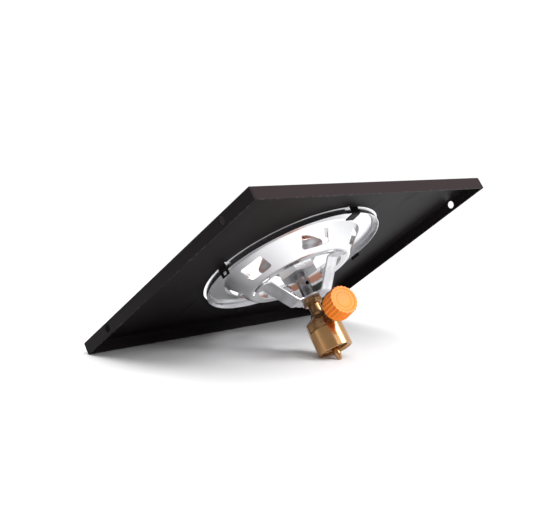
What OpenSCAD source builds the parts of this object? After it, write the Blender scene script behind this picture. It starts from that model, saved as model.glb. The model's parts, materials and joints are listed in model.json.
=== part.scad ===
// Canister stove in a folded sheet-metal tray plate.
// Origin: middle of the plate's round hole, at the plate's top face. +X runs along the plate's long side, +Z is up.

/* [Plate] */
// Length of the plate, along X
plate_l = 300; // [280:1:340]
// Width of the plate, along Y
plate_w = 250; // [230:1:300]
// Height of the folded rim
rim_h = 12; // [11:0.5:18]
// Thickness of the plate's sheet
plate_t = 1.2; // [1:0.1:1.5]
// Distance from the plate's middle to the round hole, along X
hole_shift = 5.8; // [0:0.1:10]
// Distance between the two holes in a side flange
side_hole_pitch = 173; // [150:1:190]
// Diameter of a side hole
side_hole_d = 7; // [5:0.5:8]
// Width of the tabs at the hole's edge
tab_w = 9.5; // [8:0.5:12]

/* [Wind bowl] */
// Radius of the bowl's skirt at its top
bowl_r = 84.2; // [84:0.1:84.6]
// Thickness of the bowl's sheet
bowl_t = 0.6; // [0.5:0.1:0.8]
// Radius of the opening in the bowl's floor
floor_hole_r = 40.5; // [39:0.5:41]
// Number of air windows
window_count = 6; // [3:1:6]

/* [Bracket] */
// Width of a bracket arm
arm_w = 17.5; // [12:0.5:19]
// Thickness of the bracket's sheet
arm_t = 1.5; // [1:0.1:1.5]

/* [Burner] */
// Outer radius of the mixing tube
tube_r = 6.1; // [5.8:0.1:6.5]
// Radius across the corners of the burner's six-sided housing
housing_r = 18.5; // [17.5:0.5:20]
// Number of flame slots
slot_count = 40; // [24:2:44]

/* [Pot supports] */
// Height of the pot supports above the plate
support_top = 22; // [20:1:25]
// Thickness of a pot support
support_t = 1.5; // [1.2:0.1:2]

/* [Valve] */
// Radius across the corners of the valve's hexagon flange
flange_r = 17.3; // [16.5:0.1:18]
// Outer radius of the canister cup
cup_r = 16; // [15.5:0.1:16.4]
// Direction of the knob, seen from above
knob_azimuth = -104; // [-110:1:-98]
// Radius of the knob
knob_r = 13.4; // [12:0.1:14]
// Number of finger scallops round the knob
scallop_count = 22; // [16:1:24]

/* [Hidden] */
$fn = 96;
cut = 1;                                  // how far a cutting shape runs past a face

// Plate
hole_r = bowl_r + 2;
fold_r = 2;                               // outer radius of the rim's folds
seam = 0.4;                               // gap of the open corner seams
notch_w = 1.5;                            // relief notch beside a tab
tab_bend = 1.6;                           // radius of a tab's bends, at mid thickness
tab_mid = hole_r + 0.2 + plate_t / 2;     // radius of a tab's mid plane
tab_root = tab_mid + 4;                   // where a tab leaves the flat plate
hook_z = -8;                              // mid height of the hook under the skirt
hook_r = 77;                              // radius of the hook's end
plain_tab_z = -9;                         // lower end of a plain tab
window_tab_z = -11.2;                     // lower end of the tab with the window
tab_lean = 3;                             // inward lean of the tab with the window, in degrees

// Bowl, heights of the sheet's mid surface
skirt_z = -6.4;                           // free edge of the skirt
skirt_flare = 0.75;                       // how much wider the skirt is at its free edge
shelf_z = -1.5;                           // flat shelf between skirt and cone
shelf_r = 67;                             // inner edge of the shelf
floor_z = -20.3;                          // open floor ring
floor_r = 49;                             // outer edge of the floor ring
bead_r = 0.55;                            // rolled edge of the skirt
window_w = 27;
window_h = 14.6;
window_azimuth = -113;                    // middle of the first window
window_mid = [57, -10.4];                 // middle of a window, on the cone
cone_slope = atan2(shelf_z - floor_z, shelf_r - floor_r);
oval_offset = 16;                         // floor slots beside each arm, in degrees
weep_hole = [84.6, -2.6, 108];            // small hole in the skirt: radius, height, azimuth

// Bracket
arm_azimuths = [165, -75, 45];
arm_top = floor_z - bowl_t / 2;           // upper face of the arms under the floor ring
hub_top = -43;                            // upper face of the hub
hub_bottom = hub_top - arm_t;
hub_r = 15;

// Burner
neck_r = 4.6;                             // threaded neck of the valve body
washer_t = 0.8;
tube_bottom = hub_top + washer_t;
tube_top = -17.6;
air_hole_z = -30;
air_hole_r = 1.9;
air_hole_azimuth = -105;
housing_bottom = -19.5;
housing_turn = 38;                        // azimuth of a corner of the housing
rim_top = 1.4;                            // upper edge of the burner cup
crown_top = 6.8;
crown_r = 30.8;
cap_r = 25.4;
cap_top = 9;
screw_r = 1.5;

// Pot supports
shelf_top = shelf_z + bowl_t / 2;

// Valve, heights on the upright axis
nut_bottom = -50;
collar_bottom = -58;
flange_top = -68;
flange_bottom = -74;
cup_bottom = -95.5;
stem_tip = -104.8;
stem_r = 3.2;
spigot_r = 7.9;                           // spigot that holds the canister cup
cup_floor = -77;
thread_r = 12.2;                          // inner radius of the canister thread
thread_pitch = 1.27;
thread_depth = 0.55;
seal_z = -92;                             // O-ring groove on the stem

// Valve spindle, distances along its own axis
spindle_z = -66;
bore_r = 2.58;                            // running bore round the spindle
spindle_r = 2.5;
boss_end = 21;
boss_r = 6.6;
gland_r = 4.5;
gland_seat = 17;
gland_end = 24.2;
groove_at = 14.8;                         // middle of the spindle's O-ring groove
knob_back = 25.6;
knob_front = 43.3;

// ---- profile helpers ----
function unit(v) = v / norm(v);
function left_of(v) = [-v.y, v.x];

// Points of a round corner of radius r at b, between the legs to a and c
function corner(a, b, c, r, n = 6) =
    let (
        u = unit(a - b),
        v = unit(c - b),
        half = acos(u * v) / 2,
        mid = b + unit(u + v) * r / sin(half),
        from = b + u * r / tan(half) - mid,
        to = b + v * r / tan(half) - mid,
        start = atan2(from.y, from.x),
        sweep = (atan2(to.y, to.x) - start + 540) % 360 - 180
    )
    [for (i = [0:n]) mid + r * [cos(start + sweep * i / n), sin(start + sweep * i / n)]];

// A path of [x, y, corner radius] points, with its inner corners rounded
function rounded(path) = [
    [path[0].x, path[0].y],
    for (i = [1:len(path) - 2])
        each corner(flat(path[i - 1]), flat(path[i]), flat(path[i + 1]), path[i][2]),
    flat(path[len(path) - 1])
];
function flat(p) = [p.x, p.y];

// Point i of a path, moved sideways by d with mitred corners
function beside(path, i, d) =
    let (
        last = len(path) - 1,
        before = unit(path[max(i, 1)] - path[max(i, 1) - 1]),
        after = unit(path[min(i + 1, last)] - path[min(i, last - 1)]),
        mitre = unit(left_of(before) + left_of(after))
    )
    path[i] + mitre * d / (mitre * left_of(before));

// Outline of a sheet of thickness t that follows a path at mid thickness
module sheet_section(path, t) {
    line = rounded(path);
    last = len(line) - 1;
    polygon([
        for (i = [0:last]) beside(line, i, t / 2),
        for (i = [last:-1:0]) beside(line, i, -t / 2)
    ]);
}

// A strip bent to a path of radius and height, w wide
module bent_strip(path, t, w) {
    rotate([90, 0, 0])
        linear_extrude(height = w, center = true)
            sheet_section(path, t);
}

// A ring between two radii, from z0 up to z1
module ring(r_out, r_in, z0, z1) {
    translate([0, 0, z0])
        difference() {
            cylinder(r = r_out, h = z1 - z0);
            translate([0, 0, -cut])
                cylinder(r = r_in, h = z1 - z0 + 2 * cut);
        }
}

// A solid round the Z axis with an outline of radius and height
module turned(outline) {
    rotate_extrude()
        polygon(outline);
}

// Moves children so that their Z axis lies along the valve spindle
module on_spindle() {
    translate([0, 0, spindle_z])
        rotate([0, 0, knob_azimuth])
            rotate([0, 90, 0])
                children();
}

// ---- plate ----
// Outline of a bar with its top at 0 and its upper corners rounded
module arch(w, h, r) {
    translate([-w / 2, -h])
        square([w, h - r]);
    translate([r - w / 2, -h])
        square([w - 2 * r, h]);
    for (side = [-1, 1])
        translate([side * (w / 2 - r), -r])
            circle(r);
}

// A block folded over on all four sides
module folded_block(l, w, h, r) {
    intersection() {
        rotate([90, 0, 0])
            linear_extrude(height = w + 2 * cut, center = true)
                arch(l, h, r);
        rotate([90, 0, 90])
            linear_extrude(height = l + 2 * cut, center = true)
                arch(w, h, r);
    }
}

module tray() {
    difference() {
        folded_block(plate_l, plate_w, rim_h, fold_r);
        translate([0, 0, -plate_t])
            folded_block(plate_l - 2 * plate_t, plate_w - 2 * plate_t, rim_h + cut, fold_r - plate_t);
        for (x = [-1, 1], y = [-1, 1])
            translate([x * (plate_l / 2 - plate_t - seam / 2), y * plate_w / 2, -rim_h / 2 - fold_r])
                cube([seam, 3 * plate_t, rim_h], center = true);
        for (y = [-1, 1])
            translate([0, y * side_hole_pitch / 2, -rim_h / 2])
                rotate([0, 90, 0])
                    cylinder(d = side_hole_d, h = plate_l + 2 * cut, center = true);
    }
}

// The tab at azimuth 0, cut free of the plate's edge
module tab_clearance() {
    translate([hole_r - 4, -tab_w / 2 - notch_w, -plate_t - cut])
        cube([tab_root - hole_r + 3, tab_w + 2 * notch_w, plate_t + 2 * cut]);
}

module tab(path) {
    bent_strip(concat([[tab_root + 1, -plate_t / 2], [tab_mid, -plate_t / 2, tab_bend]], path), plate_t, tab_w);
    translate([tab_root - cut, -tab_w / 2 - notch_w, -plate_t])
        cube([cut, tab_w + 2 * notch_w, plate_t]);
}

module window_tab() {
    lean = sin(tab_lean) * window_tab_z;
    difference() {
        tab([[tab_mid + lean, window_tab_z]]);
        translate([hole_r - 3, -2.3, -10])
            cube([6, 4.6, 4.8]);
    }
}

module top_plate() {
    color([0.12, 0.12, 0.13]) {
        difference() {
            translate([-hole_shift, 0, 0])
                tray();
            translate([0, 0, -plate_t - cut])
                cylinder(r = hole_r, h = plate_t + 2 * cut);
            for (azimuth = [0:90:270])
                rotate([0, 0, azimuth])
                    tab_clearance();
        }
        for (azimuth = [0, 90])
            rotate([0, 0, azimuth])
                tab([[tab_mid, plain_tab_z]]);
        rotate([0, 0, 180])
            window_tab();
        rotate([0, 0, -90])
            tab([[tab_mid, hook_z, tab_bend], [hook_r, hook_z - 0.6]]);
    }
}

// ---- bowl and bracket ----
// A cutter w wide and h high with round corners, through the XY plane
module rounded_cutter(w, h, r, depth) {
    for (size = [[w - 2 * r, h], [w, h - 2 * r]])
        cube([size.x, size.y, depth], center = true);
    for (x = [-1, 1], y = [-1, 1])
        translate([x * (w / 2 - r), y * (h / 2 - r), 0])
            cylinder(r = r, h = depth, center = true);
}

module bowl_shell() {
    rotate_extrude()
        sheet_section([
            [bowl_r - bowl_t / 2 + skirt_flare, skirt_z],
            [bowl_r - bowl_t / 2, -bowl_t / 2, 1.2],
            [81.4, -bowl_t / 2, 0.8],
            [80, shelf_z, 0.8],
            [shelf_r, shelf_z, 3],
            [floor_r, floor_z, 3.5],
            [floor_hole_r, floor_z]
        ], bowl_t);
    rotate_extrude()
        translate([bowl_r - bowl_t / 2 + skirt_flare, skirt_z])
            circle(r = bead_r, $fn = 24);
}

module wind_bowl() {
    color([0.86, 0.86, 0.88])
        difference() {
            bowl_shell();
            for (i = [0:window_count - 1])
                rotate([0, 0, window_azimuth + i * 360 / window_count])
                    translate([window_mid.x, 0, window_mid.y])
                        rotate([0, 90 - cone_slope, 0])
                            rotate([0, 90, 0])
                                rounded_cutter(window_h, window_w, 3, 9);
            for (arm = arm_azimuths, side = [-1, 1])
                rotate([0, 0, arm + side * oval_offset])
                    translate([(floor_r + floor_hole_r) / 2, 0, floor_z])
                        rounded_cutter(4.4, 9, 2.1, 4 * bowl_t);
            rotate([0, 0, weep_hole[2]])
                translate([weep_hole.x, 0, weep_hole.y])
                    rotate([0, 90, 0])
                        cylinder(r = 0.8, h = 4, center = true);
        }
}

module arm_bracket() {
    color([0.7, 0.7, 0.73])
        difference() {
            intersection() {
                union() {
                    for (azimuth = arm_azimuths)
                        rotate([0, 0, azimuth])
                            bent_strip([
                                [50, arm_top - arm_t / 2],
                                [36.6, arm_top - arm_t / 2, 3],
                                [17.2, hub_top - arm_t / 2, 3],
                                [0, hub_top - arm_t / 2]
                            ], arm_t, arm_w);
                    translate([0, 0, hub_bottom])
                        cylinder(r = hub_r, h = arm_t);
                }
                translate([0, 0, hub_bottom - cut])
                    cylinder(r = 46, h = arm_top - hub_bottom + 2 * cut);
            }
            translate([0, 0, hub_bottom - cut])
                cylinder(r = neck_r + 0.1, h = arm_t + 2 * cut);
        }
}

// ---- burner ----
module mixing_tube() {
    color([0.72, 0.72, 0.74])
        difference() {
            translate([0, 0, tube_bottom])
                cylinder(r = tube_r, h = tube_top - tube_bottom);
            translate([0, 0, tube_bottom - cut])
                cylinder(r = neck_r, h = tube_top - tube_bottom + 2 * cut);
            translate([0, 0, -37.5])
                cylinder(r = tube_r - 1, h = 37.5);
            translate([0, 0, air_hole_z])
                rotate([0, 0, air_hole_azimuth])
                    rotate([0, 90, 0])
                        cylinder(r = air_hole_r, h = 3 * tube_r, center = true);
        }
}

module hub_washer() {
    color([0.8, 0.8, 0.82])
        ring(8.6, neck_r + 0.1, hub_top, tube_bottom);
}

module lock_nut() {
    color([0.72, 0.55, 0.28])
        difference() {
            intersection() {
                translate([0, 0, nut_bottom])
                    cylinder(r = 8.9, h = hub_bottom - nut_bottom, $fn = 6);
                turned([[0, nut_bottom], [7.9, nut_bottom], [9.2, nut_bottom + 0.8], [9.2, hub_bottom - 0.8],
                    [7.9, hub_bottom], [0, hub_bottom]]);
            }
            translate([0, 0, nut_bottom - cut])
                cylinder(r = neck_r, h = 10);
        }
}

module burner_cup() {
    color([0.45, 0.45, 0.47])
        difference() {
            union() {
                translate([0, 0, housing_bottom])
                    rotate([0, 0, housing_turn])
                        cylinder(r = housing_r, h = 7.5, $fn = 6);
                turned([[0, -15], [15.4, -15], [16.6, -12], [20.5, -8.6], [26.8, -2.4], [30.4, -0.6],
                    [31.8, 0.2], [31.8, rim_top], [0, rim_top]]);
            }
            turned([[0, housing_bottom + 1.2], [14.2, housing_bottom + 1.2], [14.2, -12], [19.4, -7.6],
                [26, -1.2], [29.8, 0.4], [29.8, rim_top + cut], [0, rim_top + cut]]);
            translate([0, 0, housing_bottom - cut])
                cylinder(r = tube_r, h = 4);
        }
}

module burner_crown() {
    color([0.62, 0.36, 0.2])
        difference() {
            union() {
                turned([[23, rim_top], [crown_r, rim_top], [crown_r, rim_top + 0.7], [cap_r + 0.6, crown_top],
                    [20.5, crown_top], [20.5, crown_top - 1.6]]);
                for (spoke = [60:120:300])
                    rotate([0, 0, spoke])
                        translate([0, -1.8, crown_top - 2.2])
                            cube([22, 3.6, 2.2]);
                translate([0, 0, 1])
                    cylinder(r = 5, h = crown_top - 1);
            }
            for (i = [0:slot_count - 1])
                rotate([0, 0, (i + 0.5) * 360 / slot_count])
                    translate([24.6, -0.65, rim_top + 0.4])
                        cube([10, 1.3, crown_top]);
            cylinder(r = screw_r, h = 20);
        }
}

module burner_cap() {
    color([0.5, 0.33, 0.22])
        difference() {
            turned([[0, crown_top], [cap_r, crown_top], [cap_r, crown_top + 0.6], [22, 8.4], [8, cap_top],
                [0, cap_top]]);
            cylinder(r = screw_r, h = 20);
        }
}

module cap_screw() {
    color([0.75, 0.75, 0.77])
        difference() {
            turned([[0, 2], [screw_r, 2], [screw_r, cap_top], [3.2, cap_top], [3.2, cap_top + 0.9],
                [2.4, cap_top + 1.7], [0, cap_top + 2]]);
            for (turn = [0, 90])
                rotate([0, 0, turn])
                    translate([-1.8, -0.35, cap_top + 0.8])
                        cube([3.6, 0.7, 2]);
        }
}

module pot_support(number) {
    foot = [69, 79.4];
    color([0.68, 0.68, 0.7])
        rotate([0, 0, arm_azimuths[number - 1]])
            difference() {
                union() {
                    rotate([90, 0, 0])
                        linear_extrude(height = support_t, center = true)
                            polygon([[foot[0], shelf_top], [foot[1], shelf_top], [foot[1], support_top - 3],
                                [foot[1] - 3, support_top], [25, support_top], [22, support_top - 2],
                                [22, support_top - 4], [26, support_top - 6.4], [62, support_top - 8],
                                [67, support_top - 11]]);
                    translate([foot[0], -support_t / 2, shelf_top])
                        cube([foot[1] - foot[0], 9, 1.2]);
                }
                for (i = [0:6])
                    translate([30 + 6.5 * i, 0, support_top])
                        rotate([90, 0, 0])
                            cylinder(r = 1, h = 4 * support_t, center = true, $fn = 24);
            }
}

// ---- valve and canister fitting ----
module gas_jet() {
    color([0.85, 0.68, 0.32])
        difference() {
            union() {
                translate([0, 0, -42])
                    cylinder(r = 2.6, h = 4.5);
                translate([0, 0, -38])
                    cylinder(r = 4, h = 2.2, $fn = 6);
            }
            translate([0, 0, -42 - cut])
                cylinder(r = 1.3, h = 6);
            translate([0, 0, -40])
                cylinder(r = 0.3, h = 6, $fn = 24);
        }
}

module valve_body() {
    color([0.6, 0.47, 0.28])
        difference() {
            union() {
                intersection() {
                    turned([[0, flange_bottom], [flange_r - 1.4, flange_bottom], [flange_r + 0.2, flange_bottom + 0.9],
                        [flange_r + 0.2, flange_top], [13.5, flange_top + 3.5], [8.4, flange_top + 6.6],
                        [6.9, collar_bottom], [5.7, collar_bottom], [5.7, nut_bottom], [0, nut_bottom]]);
                    translate([0, 0, flange_bottom - cut])
                        rotate([0, 0, knob_azimuth + 30])
                            cylinder(r = flange_r, h = 40, $fn = 6);
                }
                translate([0, 0, nut_bottom - cut])
                    cylinder(r = neck_r, h = cut - 38 - nut_bottom);
                translate([0, 0, cup_floor - 1])
                    cylinder(r = spigot_r, h = 5);
                on_spindle()
                    cylinder(r = boss_r, h = boss_end);
            }
            translate([0, 0, cup_floor - 2])
                cylinder(r = 2, h = 7);
            translate([0, 0, spindle_z - 8])
                cylinder(r = 1.2, h = 8);
            translate([0, 0, -60])
                cylinder(r = 2.6, h = 30);
            rotate([0, 0, knob_azimuth])
                translate([3.1, 0, spindle_z])
                    cylinder(r = 0.7, h = 7, $fn = 24);
            on_spindle() {
                cylinder(r = 0.8, h = 4, $fn = 24);
                translate([0, 0, 2.4])
                    cylinder(r = bore_r, h = boss_end);
                translate([0, 0, gland_seat])
                    cylinder(r = gland_r, h = boss_end);
            }
        }
}

// Half outline of the canister cup's inside, with the thread as rings
function thread_outline() = [
    for (i = [0:9]) let (z = -93.2 + i * thread_pitch) each [
        [thread_r, z],
        [thread_r + thread_depth, z + thread_pitch / 2]
    ]
];

module canister_cup() {
    color([0.86, 0.68, 0.34])
        difference() {
            turned([[0, flange_bottom], [cup_r - 0.8, flange_bottom], [cup_r, flange_bottom - 0.8],
                [cup_r, cup_bottom + 0.5], [cup_r - 0.5, cup_bottom], [0, cup_bottom]]);
            turned(concat(
                [[0, cup_bottom - cut], [14.5, cup_bottom - cut], [14.5, cup_bottom + 0.4]],
                thread_outline(),
                [[thread_r, -80.2], [12.9, -79.8], [12.9, cup_floor], [0, cup_floor]]
            ));
            translate([0, 0, cup_floor - cut])
                cylinder(r = spigot_r, h = 6);
        }
}

module cup_gasket() {
    color([0.1, 0.1, 0.1])
        ring(12.6, spigot_r + 0.1, cup_floor - 1.9, cup_floor);
}

module inlet_stem() {
    color([0.85, 0.7, 0.38])
        difference() {
            turned([[0, cup_floor - 3.4], [4.6, cup_floor - 3.4], [4.6, cup_floor - 1], [0, cup_floor - 1]]);
            translate([0, 0, cup_floor - 6])
                cylinder(r = 1, h = 8);
        }
    color([0.85, 0.7, 0.38])
        difference() {
            turned([[0, stem_tip], [1.2, stem_tip], [1.8, stem_tip + 0.4], [2, stem_tip + 1], [stem_r, -99],
                [stem_r, seal_z - 1], [2.5, seal_z - 1], [2.5, seal_z + 1], [stem_r, seal_z + 1],
                [stem_r, cup_floor - 3.4], [0, cup_floor - 3.4]]);
            translate([0, 0, stem_tip - cut])
                cylinder(r = 0.7, h = 40, $fn = 24);
        }
}

module stem_seal() {
    color([0.12, 0.12, 0.12])
        translate([0, 0, seal_z])
            rotate_extrude()
                translate([3.4, 0])
                    circle(r = 0.88, $fn = 24);
}

module gas_filter() {
    color([0.66, 0.46, 0.26])
        translate([0, 0, -77.9])
            cylinder(r = 1.95, h = 5.6);
}

module gland_nut() {
    color([0.8, 0.63, 0.32])
        on_spindle()
            difference() {
                union() {
                    translate([0, 0, gland_seat])
                        cylinder(r = gland_r, h = boss_end - gland_seat + 0.5);
                    intersection() {
                        translate([0, 0, boss_end])
                            cylinder(r = 7, h = gland_end - boss_end, $fn = 6);
                        turned([[0, boss_end], [7.2, boss_end], [7.2, gland_end - 0.7], [6, gland_end],
                            [0, gland_end]]);
                    }
                }
                translate([0, 0, gland_seat - cut])
                    cylinder(r = bore_r, h = 12);
            }
}

module spindle_seal() {
    color([0.12, 0.12, 0.12])
        on_spindle()
            translate([0, 0, groove_at])
                rotate_extrude()
                    translate([2.14, 0])
                        circle(r = 0.4, $fn = 24);
}

module valve_spindle() {
    groove = [groove_at - 0.5, groove_at + 0.5];
    color([0.8, 0.65, 0.36])
        on_spindle()
            difference() {
                turned([[0, 1], [0.25, 1], [0.7, 2.4], [1.1, 3.6], [1.7, 3.8], [1.7, 7.8], [spindle_r, 8.4],
                    [spindle_r, groove[0]], [1.68, groove[0]], [1.68, groove[1]], [spindle_r, groove[1]],
                    [spindle_r, 39], [0, 39]]);
                translate([1.7, -5, knob_back + 1])
                    cube([4, 10, 20]);
            }
}

module knob() {
    grip = knob_front - knob_back;
    color([1, 0.55, 0.2])
        on_spindle()
            difference() {
                turned([[0, knob_back], [11.6, knob_back], [12.6, knob_back + 0.8], [knob_r, knob_back + 3],
                    [knob_r, knob_front - 1.4], [knob_r - 0.4, knob_front - 0.5], [knob_r - 1.3, knob_front],
                    [10.6, knob_front], [9.8, knob_front - 0.7], [7, knob_front - 0.9], [6.6, knob_front - 0.5],
                    [6.1, knob_front - 0.9], [0, knob_front - 1.1]]);
                for (i = [0:scallop_count - 1])
                    rotate([0, 0, (i + 0.5) * 360 / scallop_count])
                        translate([knob_r + 0.75, 0, knob_back - cut])
                            cylinder(r = 1.6, h = grip + 2 * cut, $fn = 24);
                difference() {
                    translate([0, 0, knob_back - cut])
                        cylinder(r = spindle_r, h = 39 - knob_back + cut);
                    translate([1.7, -5, knob_back + 1])
                        cube([4, 10, 20]);
                }
            }
}

top_plate();
wind_bowl();
arm_bracket();
mixing_tube();
hub_washer();
lock_nut();
burner_cup();
burner_crown();
burner_cap();
cap_screw();
pot_support(1);  // pot_support_1
pot_support(2);  // pot_support_2
pot_support(3);  // pot_support_3
gas_jet();
valve_body();
canister_cup();
cup_gasket();
inlet_stem();
stem_seal();
gas_filter();
gland_nut();
spindle_seal();
valve_spindle();
knob();
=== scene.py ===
import json
import math

import bmesh
import bpy
import numpy as np
from bpy.props import FloatProperty, FloatVectorProperty, IntProperty, PointerProperty
from mathutils import Matrix, Vector


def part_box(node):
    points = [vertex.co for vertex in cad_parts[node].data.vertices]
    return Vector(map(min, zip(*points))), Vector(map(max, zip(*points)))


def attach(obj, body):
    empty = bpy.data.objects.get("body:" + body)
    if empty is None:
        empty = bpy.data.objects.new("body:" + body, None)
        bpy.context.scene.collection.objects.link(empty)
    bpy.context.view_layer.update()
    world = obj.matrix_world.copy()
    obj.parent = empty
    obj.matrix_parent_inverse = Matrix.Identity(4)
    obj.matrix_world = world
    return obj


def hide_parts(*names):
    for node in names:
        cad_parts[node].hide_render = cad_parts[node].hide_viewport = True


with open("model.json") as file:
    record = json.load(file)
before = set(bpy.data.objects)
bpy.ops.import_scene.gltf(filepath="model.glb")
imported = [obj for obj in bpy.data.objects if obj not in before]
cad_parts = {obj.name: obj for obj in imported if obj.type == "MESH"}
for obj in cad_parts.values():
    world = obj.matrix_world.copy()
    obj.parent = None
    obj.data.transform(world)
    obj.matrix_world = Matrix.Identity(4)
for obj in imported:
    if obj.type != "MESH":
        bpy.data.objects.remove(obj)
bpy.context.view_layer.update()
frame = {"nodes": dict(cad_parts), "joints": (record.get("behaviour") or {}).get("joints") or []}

bl_info = {
    "name": "Canister stove in a tray plate",
    "version": (1, 0, 0),
    "blender": (4, 5, 0),
    "location": "View3D > Sidebar > Stove",
    "description": "Surfaces, finishes, light and camera for a canister stove round its packed frame",
    "category": "Object",
}

MM = 0.001  # shapes are worked out in millimetres, and meshes are in metres
FAR = 99    # farther out than anything here, for what has no limit


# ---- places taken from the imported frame, in millimetres ----
def low(node):
    """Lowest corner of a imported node."""
    return np.array(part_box(node)[0]) / MM


def high(node):
    """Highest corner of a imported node."""
    return np.array(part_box(node)[1]) / MM


def joint(name):
    """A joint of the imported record, by its name."""
    return next(j for j in frame["joints"] if j["name"] == name)


knob_joint = joint("knob_turn")
SPINDLE = np.array(knob_joint["axis"], float)           # direction from the valve to the knob
SPINDLE_AZIMUTH = math.degrees(math.atan2(SPINDLE[1], SPINDLE[0]))
SPINDLE_Z = knob_joint["pos_m"][2] / MM
BEAD_R = 0.55                                           # rolled edge of the skirt
SKIRT_RISE = 14.2                                       # from the bowl's underside to the skirt's edge
HALF_SHEET = 0.3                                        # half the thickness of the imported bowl's sheet
SKIRT_EDGE = [high("wind_bowl")[0] - BEAD_R, low("wind_bowl")[2] + SKIRT_RISE]
FLOOR_RING_Z = low("wind_bowl")[2] + HALF_SHEET
SHELF = [67.0, -1.5]                                    # inner edge of the bowl's shelf: radius, height
CONE_FOOT = [49.0, FLOOR_RING_Z]                        # outer edge of the bowl's floor ring
WINDOW_DOWN = 13.34                                     # down the cone from the shelf to a window's middle
WINDOW_CORNER = 3
FLOOR_HOLE_R = 40.5
HUB_BOTTOM = low("arm_bracket")[2]
ARM_TOP = high("arm_bracket")[2]
NUT_BOTTOM = low("lock_nut")[2]
CUP_BOTTOM = low("canister_cup")[2]
CUP_TOP = high("canister_cup")[2]
CUP_R = high("canister_cup")[0]
CUP_FLOOR = -77.0
STEM_TIP = low("inlet_stem")[2]
SUPPORT_TOP = high("pot_support_1")[2]
SHELF_TOP = low("pot_support_1")[2]
CROWN_TOP = high("burner_crown")[2]
RIM_TOP = low("burner_crown")[2]
CAP_TOP = high("burner_cap")[2]
NECK_TOP = -38.0
BOSS_END = 21.0                                         # the valve's side boss ends here, along the spindle
UP = np.array([0, 0, 1.0])
ARM_AZIMUTHS = [165, -75, 45]
WINDOW_AZIMUTHS = range(-113, 247, 60)


# ---- sizes and colours that a user may change ----
def length(name, description, default):
    """A length property in metres."""
    return FloatProperty(name=name, description=description, default=default, unit="LENGTH", precision=5)


def colour(name, description, default):
    """A colour property."""
    return FloatVectorProperty(name=name, description=description, default=default, subtype="COLOR",
                               min=0, max=1)


def number(name, description, default, least):
    """A property that counts."""
    return IntProperty(name=name, description=description, default=default, min=least)


class StoveSizes(bpy.types.PropertyGroup):
    """Sizes of the stove's visible surfaces."""
    bowl_sheet: length("Bowl sheet", "Thickness of the wind bowl's sheet", 0.0006)
    window_width: length("Window width", "Width of an air window, round the bowl", 0.027)
    window_height: length("Window height", "Height of an air window, along the cone", 0.0146)
    window_lip: length("Window lip", "Length of the lips folded in at a window's ends", 0.0042)
    arm_sheet: length("Bracket sheet", "Thickness of the bracket's sheet", 0.0015)
    arm_width: length("Arm width", "Width of a bracket arm", 0.0175)
    tube_radius: length("Tube radius", "Outer radius of the mixing tube", 0.0061)
    air_hole: length("Air hole radius", "Radius of the mixing tube's air holes", 0.0019)
    support_sheet: length("Support sheet", "Thickness of a pot support", 0.0015)
    flame_slot: length("Flame slot", "Width of a flame slot in the burner crown", 0.0013)
    thread_pitch: length("Thread pitch", "Pitch of the canister thread", 0.00127)
    thread_depth: length("Thread depth", "Depth of the canister thread", 0.00055)
    flame_slots: number("Flame slots", "Slots round the burner crown", 40, 12)
    scallops: number("Scallops", "Finger scallops round the knob", 22, 8)


class StoveColours(bpy.types.PropertyGroup):
    """Base colours of the stove's finishes."""
    powder: colour("Powder coat", "Black powder coat on the tray plate", (0.0095, 0.0078, 0.0082))
    chrome: colour("Chrome", "Polished plating of the wind bowl", (0.7, 0.7, 0.717))
    plated: colour("Plated steel", "Satin plating of bracket and tube", (0.62, 0.62, 0.64))
    burner: colour("Burner steel", "Bare steel of the burner housing", (0.82, 0.82, 0.84))
    tinted: colour("Heat tint", "Copper brown of the heated crown", (0.42, 0.17, 0.09))
    tinted_cool: colour("Cool tint", "Violet grey of the hottest parts of the crown", (0.2, 0.15, 0.19))
    support: colour("Support steel", "Stainless steel of the pot supports", (0.55, 0.55, 0.56))
    dull_brass: colour("Dull brass", "Handled brass of nut and valve", (0.38, 0.21, 0.1))
    bright_brass: colour("Bright brass", "Turned brass of the canister fitting", (0.57, 0.32, 0.142))
    bronze: colour("Bronze", "Sintered bronze of the gas filter", (0.45, 0.27, 0.13))
    rubber: colour("Rubber", "Black rubber of gasket and seals", (0.018, 0.018, 0.02))
    knob: colour("Knob plastic", "Orange moulded plastic of the knob", (1.0, 0.255, 0.015))


# ---- surfaces on a grid of two parameters ----
class Patch:
    """A grid of points that may close on itself along its rows (around) or its columns (across)."""

    def __init__(self, points, around=False, across=False, kept=None):
        self.points = points
        self.around = around
        self.across = across
        self.kept = kept

    def quads(self, first):
        """Corner numbers of each face, from the grid's own numbering, starting at first."""
        rows, columns = self.points.shape[:2]
        index = first + np.arange(rows * columns).reshape(rows, columns)
        if self.around:
            index = np.vstack([index, index[:1]])
        if self.across:
            index = np.hstack([index, index[:, :1]])
        corners = np.stack([index[:-1, :-1], index[1:, :-1], index[1:, 1:], index[:-1, 1:]], -1)
        return corners.reshape(-1, 4) if self.kept is None else corners[self.kept]


def add_object(name, data):
    """A new object in the scene."""
    thing = bpy.data.objects.new(name, data)
    bpy.context.scene.collection.objects.link(thing)
    return thing


def settle(piece):
    """Puts what the modifiers make into the mesh itself."""
    depsgraph = bpy.context.evaluated_depsgraph_get()
    finished = bpy.data.meshes.new_from_object(piece.evaluated_get(depsgraph))
    piece.modifiers.clear()
    piece.data = finished


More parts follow.
